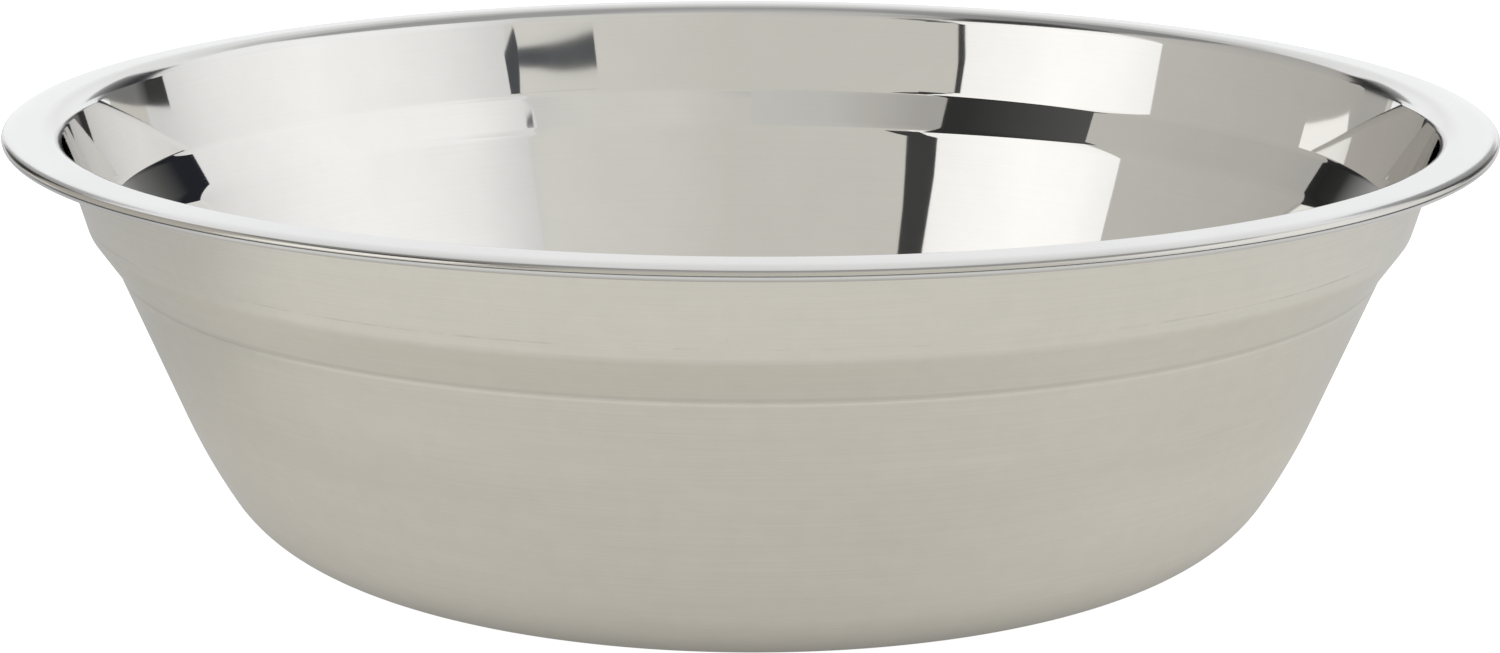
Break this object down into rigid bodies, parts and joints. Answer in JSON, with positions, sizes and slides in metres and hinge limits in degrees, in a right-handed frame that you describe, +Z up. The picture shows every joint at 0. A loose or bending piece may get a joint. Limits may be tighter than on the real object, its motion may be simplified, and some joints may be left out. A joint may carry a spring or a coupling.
{
  "type": "mixing bowl",
  "caption": "Wide, shallow metal mixing bowl with a flat base, a sloping wall with a stepped band below the rim, and a broad flange rolled under at its edge.",
  "frame": {"origin": "middle of the flat base's underside, on the surface that the bowl stands on", "axes": "+Z up along the bowl's axis of symmetry; X and Y are interchangeable, because the bowl is round"},
  "size_m": [0.4, 0.4, 0.1148],
  "materials": {
    "stainless_steel": "satin circumferential grain outside, mirror-bright inside and on the flange"
  },
  "bodies": {
    "root": {"bowl_shell": "stainless_steel"}
  },
  "joints": []
}
